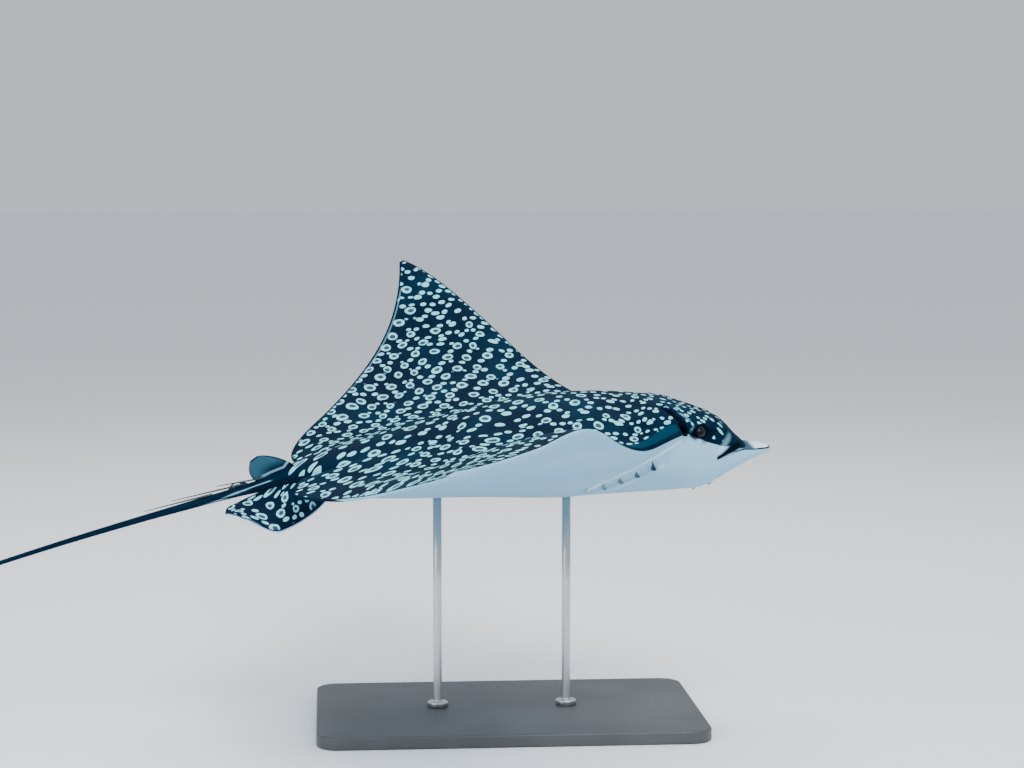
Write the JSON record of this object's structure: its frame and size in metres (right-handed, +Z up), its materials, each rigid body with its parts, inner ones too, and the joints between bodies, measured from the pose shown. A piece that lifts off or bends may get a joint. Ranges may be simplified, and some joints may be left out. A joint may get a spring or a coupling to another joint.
{
  "type": "spotted eagle ray",
  "caption": "Life-size spotted eagle ray, swimming with wings raised and long whip tail trailing, held over a flat base by two rods; a still museum-style display model",
  "frame": {"origin": "centre of the underside of the stand's base plate", "axes": "+X towards the snout, +Y towards the animal's left wing, +Z up; the tail trails towards -X"},
  "size_m": [3.0497, 1.3104, 0.727],
  "materials": {
    "skin": "satin",
    "eye": "gloss",
    "spine": "satin",
    "stand_paint": "satin",
    "stand_steel": "satin"
  },
  "bodies": {
    "root": {"head": "skin", "rostral_lobe": "skin", "trunk": "skin", "wing_left": "skin", "wing_right": "skin", "pelvic_fin_left": "skin", "pelvic_fin_right": "skin", "dorsal_fin": "skin", "tail_1": "skin", "tail_2": "skin", "tail_3": "skin", "tail_4": "skin", "tail_5": "skin", "eye_left": "eye", "eye_right": "eye", "tail_spine_1": "spine", "tail_spine_2": "spine", "tail_spine_3": "spine", "stand_base": "stand_paint", "stand_rod_front": "stand_steel", "stand_rod_rear": "stand_steel"}
  },
  "joints": []
}
